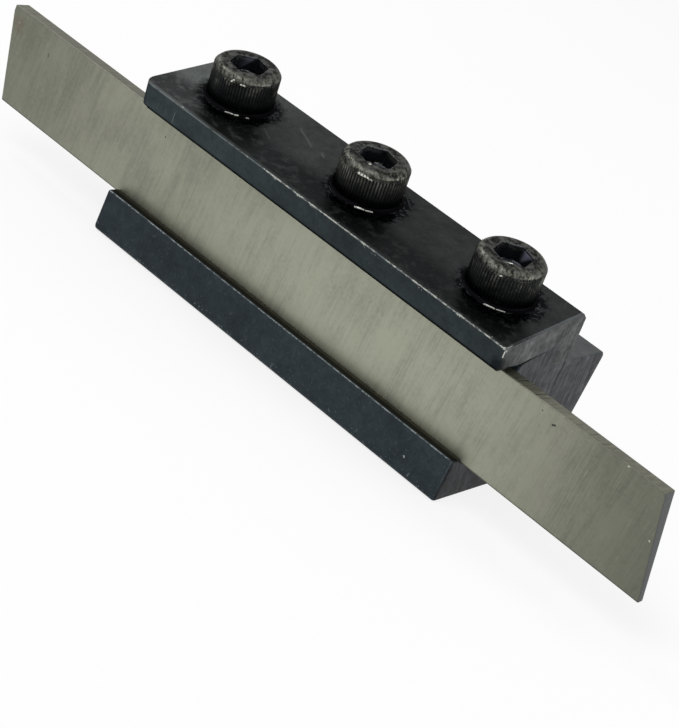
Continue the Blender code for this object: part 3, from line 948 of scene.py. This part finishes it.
# Worn edges and chips in front, painted shade on the covered land, and on the lip a painted shadow
# strip and a painted reflection of the blade
def soilBlock(skin, look, upward, mottle, bumps):
    ragged = skin.ramp(skin.cloud(1.6, 5.0, 0.75), 0.44, 0.58)
    lip = (0, block["front"], block["lipTop"])
    line = skin.arris(lip, (0, 1, 0), (0, 0, -1), block["edge"])[0]
    skin.paint(skin.product(line, ragged), look["line"], 0.9)
    corner = (block["right"], block["front"], 0)
    line = skin.arris(corner, (-1, 0, 0), (0, 1, 0), block["wornEdge"])[0]
    skin.paint(skin.product(line, ragged, skin.ramp(skin.up, *look["wornFrom"])), look["pale"], 0.5)
    low = skin.line(skin.below(skin.up, *look["chipsBelow"]), 0.6, 0.15)
    chips = skin.ramp(skin.cloud(2.2, 4.0, 0.7), 0.60, 0.66)
    skin.paint(skin.product(chips, low), look["line"])
    # painted shade: the land under the bar is painted black
    skin.paint(skin.product(upward, skin.ramp(skin.up, *look["landAbove"])), look["shadeBlack"])
    # painted shadow in a black strip behind the lip's front arris, then a painted reflection of the
    # blade up to the blade
    lipReflection = skin.blend(skin.ramp(skin.across, *look["lipShadeTo"]), look["shadeBlack"],
                       skin.blend(mottle, look["lipReflection"], look["lipReflectionPale"]))
    skin.paint(skin.product(upward, skin.below(skin.up, *look["lipBelow"]),
                            skin.ramp(skin.across, *look["lipBandFrom"])), lipReflection)
    return bumps, 0.0


def oxideSteel(name, look, soil):
    skin = Skin(name)
    upward = skin.ramp(skin.upFacing, 0.6, 0.9)
    endward = skin.ramp(skin.endFacing, 0.75, 0.95)
    mottle = skin.cloud(*look["mottle"])
    grain = skin.cloud(*look["grain"])
    top = skin.blend(skin.ramp(skin.along, *look["topSpan"]), look["topLeft"], look["top"])
    skin.colour = skin.blend(upward, look["front"], top)
    streaks = skin.ramp(skin.streaked(look["streakTurn"], look["streakStretch"], 5.0, 0.7),
                        0.34, 0.64)
    foot = skin.mix(skin.ramp(skin.up, *look["footSpan"]), look["endFoot"], 1.0)
    endTone = skin.product(skin.line(streaks, look["streaks"], 1 - 0.55 * look["streaks"]),
                           skin.line(mottle, 1.6, 0.2), foot)
    # the end faces are lighter, partly for their milled finish and partly as painted light on faces
    # that look sideways
    skin.paint(endward, skin.shaded(look["end"], endTone))
    skin.shade(skin.product(skin.line(skin.cloud(*look["cloud"]), 0.9, 0.55),
                            skin.line(grain, 0.8, 0.6), skin.line(mottle, 0.9, 0.55),
                            skin.mix(skin.ramp(skin.along, *look["toneSpan"]), *look["tones"])))
    scratches = skin.product(skin.most(
        skin.scratches((25, 20, 40), (0.25, 3.2, 3.2), 0.016, look["scratches"]),
        skin.scratches((-35, -50, -65), (0.3, 2.6, 2.6), 0.012, look["scratches"])), 0.35)
    # scored scratches, and on the bar a painted highlight line along the top edge of its right end
    for *mark, strength in look["scoredAndSheen"]:
        scratches = skin.most(scratches, skin.product(skin.marks([mark]), strength))
    skin.paint(scratches, look["pale"])
    # dark lines on the end faces; those along the gaps under the bar are painted shadow
    skin.paint(skin.marks(look["seamsAndGapShade"]), look["seamAndGapShade"], 0.95)
    amount = skin.mix(skin.ramp(skin.along, *look["edgeSpan"]), *look["edgeAmounts"])
    wear = skin.wear(look["edgeWidth"], 1.7, 1.6, amount)
    skin.paint(wear, look["line"], 0.36)
    skin.roughness = skin.line(grain, 0.25, 0.36)
    bumps = skin.line(scratches, -0.5, grain)
    bumps, chips = soil(skin, look, upward, mottle, bumps)
    # bare flecks and chips, and the painted glints and highlights of the bar
    skin.paint(skin.most(skin.marks(look["flecksAndGlints"]), chips), look["bareAndGlint"])
    return skin.finish(look, bumps, look["metal"])


# Bare tool steel, surface ground across its length. A tone is where it starts and ends along
# the front face, and how bright it is; a cross is where a scratch over the top edge starts and
# ends, how far back it goes, and its width
bladeFinish = {
    "light": seen(166, 168, 151), "dark": seen(138, 140, 126), "strip": seen(100, 100, 86),
    "rim": seen(70, 71, 67), "end": seen(72, 73, 74), "pit": seen(22, 22, 21),
    "fleck": seen(178, 178, 166), "rust": seen(112, 88, 74), "rimHeight": (0.1, 0.28),
    "leftTone": 0.55, "tones": ((-60.0, -24.0, 0.80), (-30.0, 8.0, 0.95), (20.0, 62.0, 0.38)),
    "stripSpan": (-34.0, 30.0), "stripTones": (0.85, 0.92), "speckSize": 0.22,
    "rustSpot": (-56.4, -11.1, 16.0), "rustReach": (0.4, 1.6, 1.4),
    "metal": 0.92, "bump": 0.000006, "grazing": (1, 1, 1, 1),
    "pits": [
        ((38.35, -11.1, 16.55), (38.7, -11.1, 16.7), 0.17),
        ((36.4, -11.1, 17.3), (36.5, -11.1, 17.25), 0.09),
        ((-26.75, -11.1, 15.95), (-26.7, -11.1, 15.85), 0.1),
        ((-49.7, -11.1, 15.2), (-49.55, -11.1, 14.8), 0.09)],
    "crosses": [
        (32.0, 32.3, -8.7, 0.10), (32.9, 33.2, -8.7, 0.07), (34.7, 35.1, -8.7, 0.09),
        (35.5, 35.9, -8.7, 0.06), (42.7, 43.0, -9.2, 0.07), (44.6, 44.9, -9.4, 0.07)],
    "flecks": [
        ((48.5, -11.05, 18.1), (48.7, -11.0, 18.1), 0.12),
        ((54.85, -11.1, 12.5), (54.95, -11.1, 12.4), 0.11),
        ((56.8, -11.0, 18.15), (57.0, -10.8, 18.15), 0.13),
        ((-56.3, -11.1, 16.35), (-56.25, -11.1, 16.3), 0.08)],
    "lines": [
        ((41.6, -11.1, 17.2), (41.5, -11.1, 13.4), 0.05),
        ((43.4, -11.1, 17.0), (43.3, -11.1, 12.2), 0.05),
        ((44.6, -11.1, 14.8), (44.4, -11.1, 10.6), 0.05)],
}


def groundSteel(name, look):
    skin = Skin(name)
    coarse = skin.streaked((0, -2, 0), (0.8, 1.0, 0.12), 3.0, 0.6)
    fine = skin.streaked((0, -1, 0), (4.0, 1.0, 0.16), 4.0, 0.65)
    speckle = skin.cloud(2.2, 5.0, 0.7)
    lines = skin.calc("ADD", skin.line(fine, 0.36, skin.product(coarse, 0.24)),
                      skin.line(skin.cloud(0.12, 3.0, 0.5), 0.35, skin.product(speckle, 0.25)))
    skin.colour = skin.blend(skin.ramp(lines, 0.40, 0.70), look["dark"], look["light"])
    side = look["leftTone"]
    for start, end, tone in look["tones"]:
        side = skin.mix(skin.ramp(skin.along, start, end), side, tone)
    skin.shade(side)
    across = skin.streaked((0, 0, 12), (2.2, 0.3, 1.0), 4.0, 0.7)
    stripTone = skin.product(
        skin.line(skin.ramp(across, 0.3, 0.7), 0.5, 0.72),
        skin.mix(skin.ramp(skin.along, *look["stripSpan"]), *look["stripTones"]))
    upward = skin.product(skin.ramp(skin.upFacing, 0.6, 0.9),
                          skin.ramp(skin.across, blade["front"] + 0.1, blade["front"] + 0.35))
    skin.paint(upward, skin.shaded(look["strip"], stripTone))
    skin.paint(skin.ramp(skin.endFacing, 0.5, 0.8), look["end"])
    low, high = [blade["bottom"] + rise for rise in look["rimHeight"]]
    foot = skin.product(skin.below(skin.up, low, high), 0.8)
    rim = skin.product(skin.wear(0.00024, 1.2, 1.0, 0.85), 0.75)
    skin.paint(skin.most(rim, foot), look["rim"])
    rust = skin.around(look["rustSpot"], *look["rustReach"])
    skin.paint(rust, look["rust"], 0.35)
    specks = skin.ramp(skin.cloud(1 / look["speckSize"], 5.0, 0.6), 0.75, 0.79)
    crosses = [((start, -10.9, blade["top"]), (end, back, blade["top"]), width)
               for start, end, back, width in look["crosses"]]
    pits = skin.most(skin.marks(look["pits"] + crosses), skin.product(specks, 0.5))
    skin.paint(pits, look["pit"], 0.85)
    scratches = skin.scratches((0, -3, 0), (2.0, 1.0, 0.10), 0.02, 0.5)
    flecks = skin.most(skin.marks(look["flecks"]), skin.product(skin.marks(look["lines"]), 0.13),
                       skin.product(scratches, 0.14))
    skin.paint(flecks, look["fleck"])
    skin.roughness = skin.line(fine, 0.2, 0.38)
    bumps = skin.line(pits, -2.0, skin.line(speckle, 0.8, skin.product(fine, 0.6)))
    return skin.finish(look, bumps, look["metal"])


# Black cap screws with worn tops and oil in the sockets and knurls, and painted glints
screwFinish = {
    "valley": seen(34, 35, 37), "crest": seen(128, 130, 120), "top": seen(80, 81, 77),
    "dirt": seen(19, 20, 18), "worn": seen(112, 113, 103), "socket": seen(108, 111, 126),
    "floor": seen(58, 60, 68), "mouth": seen(150, 154, 162), "bareAndGlint": seen(225, 225, 215),
    "metal": 0.97, "bump": 0.00003, "grazing": (0.6, 0.6, 0.6, 1),
    # radii and heights in millimetres between which a finish fades in or out
    "rimRadius": (3.2, 3.8), "rimAt": 4.68, "crestRadius": (4.27, 4.38),
    "crestHeight": (0.4, 4.3), "clearHalf": (6.0, 8.0), "sideBelow": (3.95, 4.5),
    "socketRadius": (2.3, 2.62), "socketBelow": (4.6, 4.95), "wallAbove": (2.9, 3.4),
    "mouthRadius": (2.7, 2.9), "oilBelow": (0.3, 1.8), "poolBelow": (2.75, 2.85),
    "mouthLines": screwMarks(
        (1, (2.33, 146, 4.9), (2.48, 112, 4.9), 0.10),
        (1, (2.52, 168, 4.6), (2.52, 168, 3.6), 0.06),
        (2, (2.30, 144, 4.9), (2.50, 108, 4.9), 0.10),
        (2, (2.52, 164.5, 4.7), (2.52, 164.5, 4.2), 0.07),
        (3, (2.30, 140, 4.9), (2.50, 104, 4.9), 0.08)),
    # painted highlights: the glints on the rims and in the sockets, drawn as bright marks
    "flecksAndGlints": screwMarks(
        (1, (4.33, -74, 4.05), (4.3, -70, 4.4), 0.16),
        (1, (4.35, -57, 4.15), (4.35, -49, 4.15), 0.13),
        (1, (2.24, 148, 2.98), (2.24, 125, 3.0), 0.09),
        (2, (4.33, -80, 4.25), (4.35, -64, 4.2), 0.20),
        (2, (4.35, -62, 4.1), (4.38, -56, 4.0), 0.14),
        (2, (2.15, 150, 2.7), (2.15, 143, 2.7), 0.26),
        (2, (2.28, 128, 2.97), (2.45, 108, 2.97), 0.14),
        (3, (4.35, -71, 4.15), (4.35, -68, 4.15), 0.12),
        (3, (1.95, 148, 2.5), (2.0, 112, 2.52), 0.22)),
}


def capScrewSteel(name, look):
    skin = Skin(name)
    radius = skin.attribute("fromAxis")
    height = skin.attribute("aboveBar")
    grain = skin.cloud(2.6, 5.0, 0.65)
    mottle = skin.cloud(1.1, 5.0, 0.7)
    skin.colour = skin.blend(skin.ramp(mottle, 0.42, 0.60), look["dirt"], look["top"])
    strokes = skin.scratches((0, 0, 35), (0.5, 2.6, 1.0), 0.06, 0.5)
    skin.paint(strokes, look["dirt"], 0.5)
    skin.shade(skin.line(grain, 1.4, 0.3))
    rubbed = skin.streaked((0, 0, 40), (1.2, 3.2, 2.0), 5.0, 0.75)
    rim = skin.product(skin.band(height, look["rimAt"], 0.2, 0.55),
                       skin.ramp(radius, *look["rimRadius"]),
                       skin.ramp(rubbed, 0.42, 0.66))
    skin.paint(rim, look["worn"], 0.75)
    # the knurl is smeared over on the outer heads
    clear = skin.most(skin.band(skin.along, 0.0, *look["clearHalf"]),
                      skin.ramp(skin.cloud(0.5, 3.0, 0.6), 0.50, 0.62))
    crest = skin.product(skin.ramp(radius, *look["crestRadius"]),
                         skin.calc("POWER", skin.ramp(height, *look["crestHeight"]), 1.6),
                         skin.line(skin.ramp(mottle, 0.35, 0.65), 0.75, 0.25),
                         skin.line(clear, 0.8, 0.2))
    onSide = skin.below(height, *look["sideBelow"])
    skin.paint(onSide, skin.blend(crest, look["valley"], look["crest"]))
    # painted reflection and shade: the socket's walls are a light blue grey and not metal, lighter
    # near the mouth and darker towards the floor
    inSocket = skin.product(skin.below(radius, *look["socketRadius"]),
                            skin.below(height, *look["socketBelow"]))
    wall = skin.ramp(height, *look["wallAbove"])
    skin.paint(inSocket, skin.blend(wall, look["floor"], look["socket"]))
    worn = skin.product(skin.wear(0.00014, 1.5, 1.0, 0.75),
                        skin.below(radius, *look["mouthRadius"]), 0.6)
    drawn = skin.product(skin.marks(look["mouthLines"]), 0.6)
    skin.paint(skin.most(worn, drawn), look["mouth"])
    # painted highlights: the glints on the rims and in the sockets are bright bare marks
    flecksAndGlints = skin.marks(look["flecksAndGlints"])
    skin.paint(flecksAndGlints, look["bareAndGlint"])
    skin.roughness = skin.line(grain, 0.3, 0.3)
    pool = skin.calc("SUBTRACT", inSocket, wall, clamp=True)
    skin.polish(skin.most(pool, skin.below(height, *look["oilBelow"])), 0.14)
    bumps = skin.product(skin.inverse(onSide), skin.line(mottle, 2.0, grain))
    # only the painted glints on the oil pool are metal inside a socket
    onPool = skin.product(flecksAndGlints, skin.below(height, *look["poolBelow"]))
    dull = skin.calc("SUBTRACT", inSocket, onPool, clamp=True)
    return skin.finish(look, bumps, skin.mix(dull, look["metal"], 0.0))


blockSteel = oxideSteel("blockOxide", blockFinish, soilBlock)
barSteel = oxideSteel("barOxide", barFinish, oilBar)
bladeSteel = groundSteel("groundBlade", bladeFinish)
screwSteel = capScrewSteel("screwOxide", screwFinish)
print("materials made")


def addPiece(made, steel, node, body):
    finishPiece(made, steel)
    ridePiece(made, node, body)
    print(made.name, "made:", len(made.data.polygons), "faces")


addPiece(makeBlock(block), blockSteel, "holder_body", "holder")
addPiece(makeBar(bar), barSteel, "clamp_bar", "clamp")
addPiece(makeBlade(blade), bladeSteel, "parting_blade", "blade")
screwTree = ridgesAndThread(screws)
for number, (along, turn) in enumerate(zip(screws["axes"], screws["sockets"]), start=1):
    made = makeScrew(f"clampScrew{number}", screws, screwTree, radians(turn), screwSteel)
    made.data.transform(screwPlacing(along))
    addPiece(made, screwSteel, f"clamp_screw_{number}", f"screw_{number}")

# Studio
studio = {
    "floorSize": 3.0, "floorGlow": 0.8, "roomForDiffuse": 0.5, "paper": 0.9, "aim": (0, 0, 0.015),
    "lamps": (
        # name, place, size, power in watts
        ("key", (-0.15, -0.35, 0.55), 0.40, 1.6),
        ("window", (-0.45, 0.03, 0.42), 0.12, 0.8),
        ("side", (0.55, 0.15, 0.25), 0.30, 1.4),
    ),
}


# whether a ray is of one of these kinds, which see the floor and the room as white
def visibleTo(net, *kinds):
    rays = net.node("ShaderNodeLightPath").outputs
    return net.most(*[rays[f"Is {kind} Ray"] for kind in kinds])


def makeFloor(look):
    half = look["floorSize"] / 2
    shape = bpy.data.meshes.new("floor")
    shape.from_pydata([(-half, -half, 0), (half, -half, 0), (half, half, 0), (-half, half, 0)],
                      [], [(0, 1, 2, 3)])
    newObject("floor", shape)
    paper = bpy.data.materials.new("floorPaper")
    paper.use_nodes = True
    net = Net(paper.node_tree)
    matt = net.fill(net.tree.nodes["Principled BSDF"], {
        "Base Color": (*[look["paper"]] * 3, 1), "Roughness": 0.9, "Specular IOR Level": 0.0})
    glow = net.out("ShaderNodeEmission", {"Color": (1, 1, 1, 1), "Strength": 1.0})
    share = net.product(visibleTo(net, "Camera", "Glossy"), look["floorGlow"])
    net.fill(net.tree.nodes["Material Output"], {
        "Surface": net.out("ShaderNodeMixShader", {0: share, 1: matt.outputs[0], 2: glow})})
    shape.materials.append(paper)


def makeRoom(look):
    scene.world = bpy.data.worlds.new("room")
    scene.world.use_nodes = True
    net = Net(scene.world.node_tree)
    level = net.out("ShaderNodeMapRange", {
        "Value": visibleTo(net, "Camera", "Glossy", "Transmission"),
        "To Min": look["roomForDiffuse"], "To Max": 1.0})
    net.fill(net.tree.nodes["Background"], {"Color": (1, 1, 1, 1), "Strength": level})
    for name, place, size, power in look["lamps"]:
        lamp = bpy.data.lights.new(name, "AREA")
        lamp.size = size
        lamp.energy = power
        stand = newObject(name, lamp)
        stand.location = place
        aim = Vector(look["aim"]) - Vector(place)
        stand.rotation_euler = aim.to_track_quat("-Z", "Y").to_euler()


makeFloor(studio)
makeRoom(studio)
scene.view_settings.view_transform = "Standard"
print("studio made")
